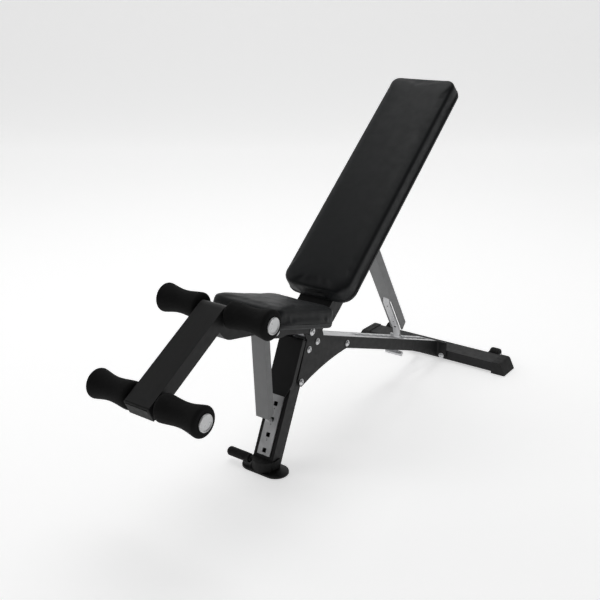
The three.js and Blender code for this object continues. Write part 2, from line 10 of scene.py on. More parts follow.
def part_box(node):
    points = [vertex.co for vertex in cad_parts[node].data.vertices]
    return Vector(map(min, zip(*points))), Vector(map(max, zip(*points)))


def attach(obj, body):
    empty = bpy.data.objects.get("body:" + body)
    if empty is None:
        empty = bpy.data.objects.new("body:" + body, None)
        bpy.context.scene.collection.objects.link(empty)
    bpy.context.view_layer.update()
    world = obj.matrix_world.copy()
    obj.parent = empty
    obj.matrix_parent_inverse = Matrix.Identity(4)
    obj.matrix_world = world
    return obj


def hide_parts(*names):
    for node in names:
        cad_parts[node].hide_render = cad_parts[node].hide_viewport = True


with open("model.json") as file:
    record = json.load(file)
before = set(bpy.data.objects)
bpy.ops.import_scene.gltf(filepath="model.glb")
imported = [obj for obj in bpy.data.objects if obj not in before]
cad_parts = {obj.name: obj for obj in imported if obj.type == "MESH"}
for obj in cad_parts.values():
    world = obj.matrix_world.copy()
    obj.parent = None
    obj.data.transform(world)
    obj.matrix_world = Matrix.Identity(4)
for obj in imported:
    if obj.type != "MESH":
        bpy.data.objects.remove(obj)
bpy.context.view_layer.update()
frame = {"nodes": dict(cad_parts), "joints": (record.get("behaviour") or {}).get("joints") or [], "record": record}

# ---- measures -----------------------------------------------------------------------------------
MM = 0.001
BACK_TILT = math.radians(40.5)  # the back pad's rise from level, at rest
SEAT_TILT = math.radians(-16.5)  # the seat pad's rise towards the back pad, at rest
POST_LEAN = math.atan(0.4487)  # the front post, from upright
ARM_RISE = math.radians(31.3)  # the leg arm, from level
STRUT_LEAN = math.radians(-57.9)  # the back strut, from level, at rest
TONGUE_FACE = 19.4 * MM  # the tongue's outer face, from the strut's middle plane
# the last, bigger entry is not a rivet: it is a dark dome over the tongue's hole, painted shade
TONGUE_RIVETS_AND_HOLE_SHADE = ((322, 2.2), (404, 2.2), (432, 4.2))  # distance down the strut and radius, in mm
ROUND_STEPS = 64

RECORD = frame["record"]
BODY_OF = {node: body for body, nodes in RECORD["behaviour"]["bodies"].items() for node in nodes}


def joint_place(name):
    return Vector(next(j for j in frame["joints"] if j["name"] == name)["pos_m"])


BACK = Matrix.Translation(joint_place("back_recline")) @ Matrix.Rotation(BACK_TILT, 4, "X")
SEAT = Matrix.Translation(joint_place("seat_lower")) @ Matrix.Rotation(SEAT_TILT, 4, "X")
POST = Matrix.Rotation(-POST_LEAN, 4, "X")
UPPER_BAR = joint_place("roller_upper_left_spin")
ARM = Matrix.Translation((0, UPPER_BAR.y, UPPER_BAR.z)) @ Matrix.Rotation(ARM_RISE, 4, "X")


def local_box(node, place):
    """Lowest and highest corner of a CAD node in a tilted frame."""
    back = place.inverted()
    points = [back @ v.co for v in frame["nodes"][node].data.vertices]
    low = Vector(min(p[i] for p in points) for i in range(3))
    high = Vector(max(p[i] for p in points) for i in range(3))
    return low, high


# ---- materials ----------------------------------------------------------------------------------
class Look:
    """A node material: each call adds one texture's effect to the Principled shader."""

    def __init__(self, name, colour, roughness, metallic=0.0):
        self.material = bpy.data.materials.new(name)
        self.material.use_nodes = True
        self.tree = self.material.node_tree
        self.shader = self.tree.nodes["Principled BSDF"]
        self.colour = colour
        self.shader.inputs["Base Color"].default_value = (*colour, 1)
        self.shader.inputs["Roughness"].default_value = roughness
        self.shader.inputs["Metallic"].default_value = metallic
        self.place = self.tree.nodes.new("ShaderNodeTexCoord").outputs["Object"]
        self.normal = None

    def noise(self, scale, detail=3.0, stretch=(1, 1, 1)):
        mapping = self.tree.nodes.new("ShaderNodeMapping")
        mapping.inputs["Scale"].default_value = stretch
        self.tree.links.new(self.place, mapping.inputs["Vector"])
        texture = self.tree.nodes.new("ShaderNodeTexNoise")
        texture.inputs["Scale"].default_value = scale
        texture.inputs["Detail"].default_value = detail
        self.tree.links.new(mapping.outputs["Vector"], texture.inputs["Vector"])
        return texture.outputs["Fac"]

    def cells(self, scale, feature="F1"):
        texture = self.tree.nodes.new("ShaderNodeTexVoronoi")
        texture.feature = feature
        texture.inputs["Scale"].default_value = scale
        self.tree.links.new(self.place, texture.inputs["Vector"])
        return texture.outputs["Distance"]

    def tint(self, factor, spread):
        """Colour variation: the base colour times 1 - spread to 1 + spread."""
        ramp = self.tree.nodes.new("ShaderNodeValToRGB")
        for element, share, at in zip(ramp.color_ramp.elements, (1 - spread, 1 + spread), (0.3, 0.7)):
            element.position = at
            element.color = (*(c * share for c in self.colour), 1)
        self.tree.links.new(factor, ramp.inputs["Fac"])
        self.tree.links.new(ramp.outputs["Color"], self.shader.inputs["Base Color"])
        return self

    def gloss(self, factor, low, high):
        """Roughness from low to high over the texture."""
        span = self.tree.nodes.new("ShaderNodeMapRange")
        span.inputs["From Min"].default_value = 0.3
        span.inputs["From Max"].default_value = 0.7
        span.inputs["To Min"].default_value = low
        span.inputs["To Max"].default_value = high
        self.tree.links.new(factor, span.inputs["Value"])
        self.tree.links.new(span.outputs["Result"], self.shader.inputs["Roughness"])
        return self

    def bump(self, height, strength, depth):
        node = self.tree.nodes.new("ShaderNodeBump")
        node.inputs["Strength"].default_value = strength
        node.inputs["Distance"].default_value = depth
        self.tree.links.new(height, node.inputs["Height"])
        if self.normal:
            self.tree.links.new(self.normal, node.inputs["Normal"])
        self.normal = node.outputs["Normal"]
        self.tree.links.new(self.normal, self.shader.inputs["Normal"])
        return self

    def socket(self, name, value):
        self.shader.inputs[name].default_value = value
        return self


def grey(value, blue=1.0):
    return (value, value, value * blue)


def powder_coat(name, value, rough=0.46):
    look = Look(name, grey(value, 1.03), rough).socket("Specular IOR Level", 0.22)
    look.tint(look.noise(5, 4), 0.12).gloss(look.noise(60), rough - 0.06, rough + 0.07)
    return look.bump(look.noise(850, 2), 0.22, 0.25 * MM).material


def vinyl():
    look = Look("pad_vinyl", (0.0100, 0.0112, 0.0122), 0.5).socket("Specular IOR Level", 0.22)
    look.tint(look.noise(9, 4), 0.10).gloss(look.noise(35), 0.44, 0.56)
    look.bump(look.noise(28, 2), 0.25, 0.5 * MM)
    look.bump(look.cells(620, "SMOOTH_F1"), 0.35, 0.3 * MM)
    return look.bump(look.noise(1500, 1), 0.15, 0.1 * MM).material


def backing_cloth():
    look = Look("backing_cloth", grey(0.012), 0.95)
    look.tint(look.noise(900, 5, (1, 0.25, 1)), 0.5)
    return look.bump(look.noise(700, 4, (1, 0.3, 1)), 0.5, 0.3 * MM).material


def foam():
    look = Look("roller_foam", grey(0.0105), 0.88).socket("Specular IOR Level", 0.12)
    look.tint(look.noise(30, 4), 0.14).gloss(look.noise(120), 0.82, 0.95)
    look.bump(look.cells(520), 0.4, 0.35 * MM)
    return look.bump(look.noise(90, 3), 0.2, 0.4 * MM).material


def rubber(name, value, rough=0.66):
    look = Look(name, grey(value), rough).socket("Specular IOR Level", 0.2)
    look.tint(look.noise(14, 4), 0.15).gloss(look.noise(80), rough - 0.08, rough + 0.1)
    return look.bump(look.noise(600, 3), 0.3, 0.2 * MM).material


def zinc(name, value, rough=0.4):
    look = Look(name, (value, value * 1.005, value * 1.02), rough, 0.75)
    look.tint(look.noise(45, 5), 0.07).gloss(look.noise(30, 4), rough - 0.07, rough + 0.1)
    return look.bump(look.noise(260, 2, (1, 9, 9)), 0.1, 0.1 * MM).material


def silver_paint():
    look = Look("strut_paint", (0.185, 0.187, 0.189), 0.5, 0.15)
    look.tint(look.noise(2600, 1), 0.12).gloss(look.noise(50), 0.42, 0.56)
    return look.bump(look.noise(700, 2), 0.15, 0.2 * MM).material


def plug_plastic():
    look = Look("bar_end_plastic", (0.66, 0.665, 0.67), 0.3, 0.35)
    look.tint(look.noise(60, 2), 0.03).gloss(look.noise(90), 0.24, 0.36)
    return look.bump(look.noise(420, 2), 0.06, 0.1 * MM).material


def thread():
    look = Look("seam_thread", grey(0.02), 0.7)
    look.tint(look.noise(1500, 1), 0.3)
    return look.bump(look.noise(2400, 1, (1, 1, 4)), 0.5, 0.2 * MM).material


PAINT = powder_coat("frame_paint", 0.0135)
PLATE_PAINT = powder_coat("plate_paint", 0.0165, 0.5)
TUBE_PAINT = powder_coat("tube_paint", 0.0195, 0.52)
VINYL = vinyl()
BACKING = backing_cloth()
FOAM = foam()
RUBBER = rubber("black_rubber", 0.016)
CAP_RUBBER = rubber("cap_rubber", 0.026)
ZINC = zinc("zinc_steel", 0.60)
BOLT_ZINC = zinc("bolt_zinc", 0.70, 0.32)
SILVER = silver_paint()
PLUG = plug_plastic()
THREAD = thread()


# ---- mesh helpers -------------------------------------------------------------------------------
def made(name, bm):
    """An object at the origin from a bmesh, with its faces pointing out."""
    bmesh.ops.recalc_face_normals(bm, faces=bm.faces)
    mesh = bpy.data.meshes.new(name)
    bm.to_mesh(mesh)
    bm.free()
    obj = bpy.data.objects.new(name, mesh)
    bpy.context.scene.collection.objects.link(obj)
    return obj


def smoothed(obj, angle=38):
    for face in obj.data.polygons:
        face.use_smooth = True
    obj.data.set_sharp_from_angle(angle=math.radians(angle))
    return obj


def applied(obj):
    """Turns the object's modifiers into its mesh."""
    graph = bpy.context.evaluated_depsgraph_get()
    mesh = bpy.data.meshes.new_from_object(obj.evaluated_get(graph))
    obj.modifiers.clear()
    obj.data = mesh
    return obj


def settle(obj, body, slot, look, *nodes):
    """Gives a piece its material and body, and hides the CAD nodes it stands for; slot is not used."""
    obj.data.materials.append(look)
    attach(obj, body)
    if nodes:
        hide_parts(*nodes)
    return obj


def turned(name, points, centre, axis="X", closed=False, steps=ROUND_STEPS):
    """A turned piece: points are (distance along, radius) or (distance, radius, sides of a socket)."""
    bm = bmesh.new()
    rows = []
    for along, radius, *sides in points:
        if radius == 0:
            rows.append([bm.verts.new((along, 0, 0))])
            continue
        row = []
        for i in range(steps):
            angle = 2 * math.pi * i / steps
            reach = radius
            if sides:
                part = 2 * math.pi / sides[0]
                reach = radius / math.cos(angle % part - part / 2)
            row.append(bm.verts.new((along, reach * math.cos(angle), reach * math.sin(angle))))
        rows.append(row)
    pairs = list(zip(rows, rows[1:])) + ([(rows[-1], rows[0])] if closed else [])
    for low, high in pairs:
        for i in range(steps):
            j = (i + 1) % steps
            corners = [low[i % len(low)], low[j % len(low)], high[j % len(high)], high[i % len(high)]]
            corners = list(dict.fromkeys(corners))
            bm.faces.new(corners)
    turn = Matrix.Rotation(math.pi / 2, 4, "Z") if axis == "Y" else Matrix()
    bm.transform(Matrix.Translation(centre) @ turn)
    return smoothed(made(name, bm))


def lofted(name, rings):
    """A closed skin through rings of the same number of points, with a flat face over each end."""
    bm = bmesh.new()
    rows = [[bm.verts.new(p) for p in ring] for ring in rings]
    count = len(rows[0])
    for low, high in zip(rows, rows[1:]):
        for i in range(count):
            j = (i + 1) % count
            bm.faces.new((low[i], low[j], high[j], high[i]))
    bm.faces.new(rows[0])
    bm.faces.new(rows[-1])
    return made(name, bm)


def tube(name, points, radius, place, ring=False, sides=8):
    """A round bead along a line of points."""
    curve = bpy.data.curves.new(name, "CURVE")
    curve.dimensions = "3D"
    curve.bevel_depth = radius
    curve.bevel_resolution = max(1, sides // 4)
    curve.use_fill_caps = not ring
    spline = curve.splines.new("POLY")
    spline.points.add(len(points) - 1)
    for point, position in zip(spline.points, points):
        point.co = (*(place @ Vector(position)), 1)
    spline.use_cyclic_u = ring
    holder = bpy.data.objects.new(name, curve)
    bpy.context.scene.collection.objects.link(holder)
    graph = bpy.context.evaluated_depsgraph_get()
    mesh = bpy.data.meshes.new_from_object(holder.evaluated_get(graph))
    bpy.data.objects.remove(holder)
    obj = bpy.data.objects.new(name, mesh)
    bpy.context.scene.collection.objects.link(obj)
    return smoothed(obj, 60)


# ---- frame pieces from the CAD shapes -----------------------------------------------------------
def refined(node, look, slot, bevel=1.0):
    """The CAD shape with its flat faces whole and its edges rounded over."""
    source = frame["nodes"][node].data
    bm = bmesh.new()
    corners = [bm.verts.new(v.co) for v in source.vertices]
    for face in source.polygons:
        bm.faces.new([corners[i] for i in face.vertices])
    bmesh.ops.remove_doubles(bm, verts=bm.verts, dist=0.01 * MM)
    bmesh.ops.dissolve_limit(bm, angle_limit=math.radians(0.4), verts=bm.verts, edges=bm.edges)
    obj = smoothed(made(node + "_finish", bm), 30)
    rounding = obj.modifiers.new("rounding", "BEVEL")
    rounding.width = bevel * MM
    rounding.segments = 2
    rounding.limit_method = "ANGLE"
    rounding.angle_limit = math.radians(33)
    rounding.harden_normals = True
    applied(obj)
    return settle(obj, BODY_OF[node], slot, look, node)


PAINTED = {
    "front_post": 2.2,
    "post_cover": 1.2,
    "wheel_bracket_left": 0.5,
    "wheel_bracket_right": 0.5,
    "back_hinge_bracket": 0.8,
    "back_spine": 1.6,
    "back_cross_plate_lower": 0.6,
    "back_cross_plate_upper": 0.6,
    "seat_channel": 0.8,
    "leg_arm_neck": 2.0,
    "leg_arm": 2.2,
    "back_pivot_tube": 0.3,
    "seat_pivot_tube": 0.3,
}
ZINC_PLATED = {
    "post_ladder_plate": 0.5,
    "ladder_rail": 1.0,
    "back_strut_tongue": 0.6,
    "seat_strut_hook": 0.8,
}


def frame_pieces():
    for node, bevel in PAINTED.items():
        refined(node, PAINT, "frame_paint", bevel)
    for node in ("side_plate_left", "side_plate_right"):
        refined(node, PLATE_PAINT, "frame_paint", 0.8)
    refined("rear_cross_tube", TUBE_PAINT, "frame_paint", 2.0)
    for node, bevel in ZINC_PLATED.items():
        refined(node, ZINC, "zinc_steel", bevel)
    for node in ("back_strut", "seat_strut"):
        refined(node, SILVER, "strut_paint", 1.0)
    for node in ("rear_cap_left", "rear_cap_right"):
        refined(node, CAP_RUBBER, "black_rubber", 1.6)
    refined("front_foot_boot", RUBBER, "black_rubber", 1.0)
    refined("leg_arm_cap", CAP_RUBBER, "black_rubber", 0.7)


# ---- turned pieces ------------------------------------------------------------------------------
def middle(node):
    low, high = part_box(node)
    return (low + high) / 2


def scaled(points):
    return [(along * MM, radius * MM, *sides) for along, radius, *sides in points]


def button_head(top, head, shank):
    """Half of a bolt: a domed head with a hexagon socket, over a washer. top is the head's outer end."""
    return [
        (top - 2.8, 0),
        (top - 2.8, head * 0.30, 6),
        (top - 0.2, head * 0.32, 6),
        (top, head * 0.46),
        (top - 0.5, head * 0.66),
        (top - 1.6, head * 0.88),
        (top - 2.9, head * 0.98),
        (top - 3.6, head),
        (top - 3.8, head * 1.18),
        (top - 4.9, head * 1.18),
        (top - 4.9, shank),
    ]


def cross_bolt(node, head, shank):
    low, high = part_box(node)
    half = button_head(high.x / MM, head, shank)
    mirrored = [(-along, radius, *sides) for along, radius, *sides in reversed(half)]
    centre = Vector((0, (low.y + high.y) / 2, (low.z + high.z) / 2))
    obj = turned(node + "_finish", scaled([*half, *mirrored]), centre)
    settle(obj, BODY_OF[node], "zinc_steel", BOLT_ZINC, node)


def rear_bolt(side):
    node = "rear_bolt_" + side
    low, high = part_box(node)
    length = (high.y - low.y) / MM
    half = button_head(length, 8.6, 5)
    centre = Vector(((low.x + high.x) / 2, high.y, (low.z + high.z) / 2))
    points = [(-along, radius, *sides) for along, radius, *sides in half] + [(0, 5), (0, 0)]
    obj = turned(node + "_finish", scaled(points), centre, "Y")
    settle(obj, "root", "zinc_steel", BOLT_ZINC, node)


def side_sign(side):
    return 1 if side == "left" else -1


def foam_roller(level, side):
    """Closed-cell foam: waisted in the middle, fuller at its outer end, with rounded rims."""
    node = f"foam_roller_{level}_{side}"
    low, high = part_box(node)
    length = (high.x - low.x) / MM
    inner, outer, waist, bore, rim, steps = 36.0, 39.0, 31.0, 10.6, 9.0, 40
    points = [(0.0, bore)]
    for i in range(7):
        angle = math.pi / 2 * i / 6
        points.append((rim * (1 - math.cos(angle)), inner - rim + rim * math.sin(angle)))
    for i in range(1, steps):
        t = i / steps
        end = inner + (outer - inner) * t
        dip = (end - waist) * math.sin(math.pi * t) ** 1.3
        points.append((rim + (length - 2 * rim) * t, end - dip))
    for i in range(7):
        angle = math.pi / 2 * i / 6
        points.append((length - rim + rim * math.sin(angle), outer - rim + rim * math.cos(angle)))
    points.append((length, bore))
    sign = side_sign(side)
    start = low.x if sign > 0 else high.x
    centre = Vector((start, (low.y + high.y) / 2, (low.z + high.z) / 2))
    placed = [(along * sign, radius) for along, radius in points]
    obj = turned(node + "_finish", scaled(placed), centre, closed=True, steps=80)
    settle(obj, BODY_OF[node], "roller_foam", FOAM, node)


def bar_end(level, side):
    """The bright plug in a roller bar's end, dished in the middle."""
    node = f"bar_end_{level}_{side}"
    low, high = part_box(node)
    sign = side_sign(side)
    start = low.x if sign > 0 else high.x
    centre = Vector((start, (low.y + high.y) / 2, (low.z + high.z) / 2))
    dish = [(0, 0), (0, 21.5), (0.4, 22), (2.4, 22), (3.4, 21.4), (4.0, 20.4), (4.0, 19.6), (3.5, 18.8)]
    dish += [(2.4, 18.0), (2.0, 17.0), (1.8, 14), (1.7, 6), (1.7, 0)]
    placed = [(along * sign, radius) for along, radius in dish]
    obj = turned(node + "_finish", scaled(placed), centre)
    settle(obj, "seat", "bar_end_plastic", PLUG, node)


def roller_bar(level):
    node = "roller_bar_" + level
    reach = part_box(node)[1].x / MM - 0.5
    points = [(-reach, 0), (-reach, 9), (-reach + 1, 10), (reach - 1, 10), (reach, 9), (reach, 0)]
    obj = turned(node + "_finish", scaled(points), middle(node))
    settle(obj, "seat", "zinc_steel", ZINC, node)


def transport_wheel(side):
    """A tyre with two grooves on a dished hub."""
    node = "transport_wheel_" + side
    low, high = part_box(node)
    half = (high.x - low.x) / 2 / MM
    skin = [(-half + 4, 5), (-half + 4, 10), (-half + 5, 15), (-half, 18), (-half, 21.5), (-half + 2.5, 24)]
    skin += [(-6.5, 24.5), (-6, 23.2), (-4, 23.2), (-3.5, 24.5)]
    other = [(-along, radius) for along, radius in reversed(skin)]
    obj = turned(node + "_finish", scaled([*skin, *other]), middle(node), closed=True)
    settle(obj, BODY_OF[node], "black_rubber", RUBBER, node)


def wheel_axle(side):
    node = "wheel_axle_" + side
    low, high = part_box(node)
    half = button_head((high.x - low.x) / 2 / MM, 6.2, 4)
    mirrored = [(-along, radius, *sides) for along, radius, *sides in reversed(half)]
    obj = turned(node + "_finish", scaled([*half, *mirrored]), middle(node))
    settle(obj, "root", "zinc_steel", BOLT_ZINC, node)


def strut_catch():
    node = "back_strut_catch"
    half = [(31, 0), (31, 8), (30, 9), (14, 9), (13, 8), (13, 4.8)]
    mirrored = [(-along, radius) for along, radius in reversed(half)]
    obj = turned(node + "_finish", scaled([*half, *mirrored]), middle(node))
    settle(obj, "back_strut", "zinc_steel", ZINC, node)


def lift_handle():
    """The grip is ribbed rubber on a painted bar."""
    low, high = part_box("lift_handle_grip")
    points = [(0, 0), (0.3, 6), (2, 10), (6, 13.2)]
    start, end, pitch = 9.0, (high.x - low.x) / MM - 5, 5.0
    for i in range(int((end - start) / pitch)):
        at = start + i * pitch
        points += [(at, 13.9), (at + 3.2, 13.9), (at + 3.7, 13.1), (at + 4.5, 13.1)]
    length = (high.x - low.x) / MM
    points += [(length - 3, 13.9), (length - 0.4, 13.4), (length, 8.4), (length - 1, 0)]
    centre = Vector((low.x, middle("lift_handle_grip").y, middle("lift_handle_grip").z))
    grip = turned("lift_handle_grip_finish", scaled(points), centre)
    settle(grip, "root", "black_rubber", RUBBER, "lift_handle_grip")
    low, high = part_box("lift_handle_bar")
    length = (high.x - low.x) / MM
    centre = Vector((low.x, middle("lift_handle_bar").y, middle("lift_handle_bar").z))
    bar = turned("lift_handle_bar_finish", scaled([(0, 0), (0, 8), (length, 8), (length, 0)]), centre)
    settle(bar, "root", "frame_paint", PAINT, "lift_handle_bar")


def foot_plate():
    """An oval plate with its top edge rounded over."""
    low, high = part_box("front_foot_plate")
    radius = (high.y - low.y) / 2
    shift = high.x - radius
    centre_y = (low.y + high.y) / 2
    steps = 28

    def oval(inset, height):
        ring = []
        for side, start in ((1, -90), (-1, 90)):
            for i in range(steps + 1):
                angle = math.radians(start + 180 * i / steps)
                x = side * shift + (radius - inset) * math.cos(angle)
                ring.append((x, centre_y + (radius - inset) * math.sin(angle), height))
        return ring

    top = high.z
    rings = [oval(0.8 * MM, low.z), oval(0, low.z + 0.8 * MM), oval(0, top - 2 * MM)]
    rings += [oval(0.6 * MM, top - 0.6 * MM), oval(2 * MM, top)]
    obj = smoothed(lofted("front_foot_plate_finish", rings), 25)
    settle(obj, "root", "frame_paint", PAINT, "front_foot_plate")


def turned_pieces():
    for i in range(1, 5):
        cross_bolt(f"frame_bolt_{i}", 8.4, 5)
    for node in ("back_pivot_bolt", "seat_pivot_bolt"):
        cross_bolt(node, 9.6, 6)
    for node in ("back_strut_pin", "seat_strut_pin"):
        cross_bolt(node, 8.8, 6)
    for level in ("upper", "lower"):
        roller_bar(level)
        for side in ("left", "right"):
            foam_roller(level, side)
            bar_end(level, side)
    for side in ("left", "right"):
        rear_bolt(side)
        transport_wheel(side)
        wheel_axle(side)
    strut_catch()
    lift_handle()
    foot_plate()


# ---- padded pieces ------------------------------------------------------------------------------
PAD_EDGE = 12  # rounding of a pad's upper edge, in mm
PAD_CROWN = 4  # rise of a pad's middle over its edge, in mm
COVER_OUTWARD = 2.5 * MM  # how far outside the CAD pad a cover starts, before it is smoothed
COVER_VOXEL = 5 * MM
SWELL_LIMIT = 3.5 * MM
BOARD_BAND = 12 * MM  # the lowest part of a cover, which doesn't swell
CLOTH_PRESSURE = 4
CLOTH_FRAMES = 20
SEAM_HEIGHT = 15 * MM
STITCH_LIFT = 4 * MM
STAPLE_INSET = 22 * MM


class PadShape:
    """A pad's outline in plan and its edge rounding, in the pad's own frame."""

    def __init__(self, node, board, place, low_corner, high_corner, edge, crown):
        low, high = local_box(node, place)
        self.half = high.x
        self.start = low.y
        self.end = high.y
        self.base = local_box(board, place)[0].z
        self.top = high.z
        self.low_corner = low_corner * MM
        self.high_corner = high_corner * MM
        self.edge = edge * MM
        self.crown = crown * MM

    def ring(self, inset, height, steps=12):
        corners = [
            (1, 1, self.high_corner, 0),
            (-1, 1, self.high_corner, 90),
            (-1, -1, self.low_corner, 180),
            (1, -1, self.low_corner, 270),
        ]
        points = []
        for across, along, corner, first in corners:
            radius = max(corner - inset, 3 * MM)
            x = across * (self.half - inset - radius)
            y = self.end - inset - radius if along > 0 else self.start + inset + radius
            for i in range(steps + 1):
                angle = math.radians(first + 90 * i / steps)
                points.append(Vector((x + radius * math.cos(angle), y + radius * math.sin(angle), height)))
        return points

    def skin(self, shrink):
        """Rings from the flat underside, up the side, over the rounded edge and across the crown."""
        low, high = self.base, self.top - shrink
        rim = high - self.crown
        rings = [self.ring(shrink + 5 * MM, low), self.ring(shrink + 1.2 * MM, low + 1.5 * MM)]
        rings.append(self.ring(shrink, low + 6 * MM))
        for i in range(9):
            angle = math.pi / 2 * i / 8
            inset = shrink + self.edge * (1 - math.cos(angle))
            rings.append(self.ring(inset, rim - self.edge * 0.85 * (1 - math.sin(angle))))
        reach = self.half - self.edge - 8 * MM
        for i in range(1, 9):
            share = i / 8
            height = rim + self.crown * math.sin(share * math.pi / 2)
            rings.append(self.ring(shrink + self.edge + reach * share, height))
        return rings


def swollen(obj, pinned_below, most):
    """Inflates the cover a little by cloth pressure. Points under pinned_below stay on the board."""
    before = [v.co.copy() for v in obj.data.vertices]
    pinned = obj.vertex_groups.new(name="pinned")
    pinned.add([i for i, point in enumerate(before) if point.z < pinned_below], 1.0, "REPLACE")
    cloth = obj.modifiers.new("cover", "CLOTH")
    cloth.settings.vertex_group_mass = "pinned"
    cloth.settings.use_pressure = True
    cloth.settings.uniform_pressure_force = CLOTH_PRESSURE
    cloth.settings.effector_weights.gravity = 0
    cloth.collision_settings.use_collision = False
    scene = bpy.context.scene
    for number in range(1, CLOTH_FRAMES + 1):
        scene.frame_set(number)
    graph = bpy.context.evaluated_depsgraph_get()
    after = [v.co.copy() for v in obj.evaluated_get(graph).data.vertices]
    obj.modifiers.clear()
    scene.frame_set(1)
    for vertex, old, new in zip(obj.data.vertices, before, after):
        move = new - old
        if move.length > most:
            move.length = most
        vertex.co = old + move
    obj.vertex_groups.clear()


def pad_cover(name, shape):
    """The foam and its vinyl cover, wrapped round the board: swollen, smoothed and subdivided."""
    obj = lofted(name, shape.skin(-COVER_OUTWARD))
    bm = bmesh.new()
    bm.from_mesh(obj.data)
    bmesh.ops.triangulate(bm, faces=[f for f in bm.faces if len(f.verts) > 4])
    bm.to_mesh(obj.data)
    bm.free()
    remesh = obj.modifiers.new("remesh", "REMESH")
    remesh.mode = "VOXEL"
    remesh.voxel_size = COVER_VOXEL
    applied(obj)
    calm = obj.modifiers.new("calm", "SMOOTH")
    calm.factor = 0.5
    calm.iterations = 3
    applied(obj)
    swollen(obj, shape.base + BOARD_BAND, SWELL_LIMIT)
    calm = obj.modifiers.new("calm", "SMOOTH")
    calm.factor = 0.5
    calm.iterations = 2
    fine = obj.modifiers.new("fine", "SUBSURF")
    fine.levels = 1
    fine.render_levels = 1
    applied(obj)
    for vertex in obj.data.vertices:
        vertex.co.z = max(vertex.co.z, shape.base)
    smoothed(obj, 80)
    return obj


def mark_backing(obj, shape):
    """Gives the flat underside, inside a border of vinyl, the backing cloth."""
    obj.data.materials.append(BACKING)
    border = 16 * MM
    for face in obj.data.polygons:
        inside = abs(face.center.x) < shape.half - border
        inside = inside and shape.start + border < face.center.y < shape.end - border
        if inside and face.center.z < shape.base + 1.5 * MM and face.normal.z < -0.7:
            face.material_index = 1


def spaced(points, spacing):
    """Points at even steps along a closed line, each with the line's direction there."""
    loop = [*points, points[0]]
    total = sum((b - a).length for a, b in zip(loop, loop[1:]))
    count = int(total / spacing)
    step = total / count
    result = []
    wanted, travelled = 0.0, 0.0
    for a, b in zip(loop, loop[1:]):
        length = (b - a).length
        while length and wanted < travelled + length and len(result) < count:
            result.append((a.lerp(b, (wanted - travelled) / length), (b - a).normalized()))
            wanted += step
        travelled += length
    return result


def on_side(tree, shape, height, spacing):
    """Points on the pad's side at a height: (point, direction along, direction out)."""
    found = []
    for point, along in spaced(shape.ring(0, height), spacing):
        out = Vector((along.y, -along.x, 0))
        hit = tree.ray_cast(point + out * 20 * MM, -out)
        if hit[0] is not None:
            found.append((hit[0], along, out))
    return found


def bars(name, places, size):
    """Small bevelled bars: places are (point, along, out), and size is length, width, height."""
    bm = bmesh.new()
    length, width, height = size
    for point, along, out in places:
        across = out.cross(along)
        turn = Matrix((along, across, out)).transposed().to_4x4()
        box = bmesh.ops.create_cube(bm, size=1.0)["verts"]
        bmesh.ops.scale(bm, vec=(length, width, height), verts=box)
        edges = list({e for v in box for e in v.link_edges})
        corners = bmesh.ops.bevel(bm, geom=edges, offset=height * 0.3, segments=1, affect="EDGES")["verts"]
        verts = list({*corners, *(v for v in box if v.is_valid)})
        bmesh.ops.transform(bm, matrix=Matrix.Translation(point) @ turn, verts=verts)
    return made(name, bm)


def pad(node, board, body, place, corners):
    shape = PadShape(node, board, place, *corners, edge=PAD_EDGE, crown=PAD_CROWN)
    cover = pad_cover(node + "_cover", shape)
    points = [v.co for v in cover.data.vertices]
    tree = BVHTree.FromPolygons(points, [f.vertices for f in cover.data.polygons])
    seam_height = shape.base + SEAM_HEIGHT
    seam = on_side(tree, shape, seam_height, 12 * MM)
    welt_line = [point + out * 0.2 * MM for point, _, out in seam]
    welt = tube(node + "_welt", welt_line, 1.3 * MM, place, ring=True)
    stitch_line = on_side(tree, shape, seam_height + STITCH_LIFT, 6.5 * MM)
    stitches = bars(node + "_stitches", stitch_line, (4 * MM, 0.9 * MM, 0.9 * MM))
    down = Vector((0, 0, -1))
    staple_line = spaced(shape.ring(STAPLE_INSET, 0), 38 * MM)
    border = [(Vector((p.x, p.y, shape.base)), along, down) for p, along in staple_line]
    staples = bars(node + "_staples", border, (10 * MM, 1.0 * MM, 0.6 * MM))
    for piece in (cover, stitches, staples):
        piece.data.transform(place)
    settle(cover, body, "pad_vinyl", VINYL, node, board)
    cover.data.transform(place.inverted())
    mark_backing(cover, shape)
    cover.data.transform(place)
    settle(welt, body, "pad_vinyl", VINYL)
    settle(stitches, body, "pad_vinyl", THREAD)
    settle(staples, body, "pad_board", BACKING)


# ---- small details ------------------------------------------------------------------------------
def ladder_numbers():
    """Plain position numbers printed under the holes of the ladder plate."""
    low = local_box("post_ladder_plate", POST)[0]
    first, last, count, from_foot = 60 * MM, 185 * MM, 4, 52 * MM
    for i in range(count):
        height = (first + (last - first) * i / (count - 1)) / math.cos(POST_LEAN) - from_foot
        text = bpy.data.curves.new(f"ladder_number_{i + 1}", "FONT")
        text.body = str(i + 1)
        text.size = 9 * MM
        text.extrude = 0.06 * MM
        text.align_x = "CENTER"
        holder = bpy.data.objects.new(text.name, text)
        bpy.context.scene.collection.objects.link(holder)
        graph = bpy.context.evaluated_depsgraph_get()
        mesh = bpy.data.meshes.new_from_object(holder.evaluated_get(graph))
        bpy.data.objects.remove(holder)
        mesh.transform(Matrix.Rotation(math.pi / 2, 4, "X"))
        mesh.transform(Matrix.Translation((0, low.y - 0.1 * MM, low.z + height - 17.5 * MM)))
        mesh.transform(POST)
        number = bpy.data.objects.new(f"ladder_number_{i + 1}", mesh)
        bpy.context.scene.collection.objects.link(number)
        settle(number, "root", "frame_paint", PAINT)


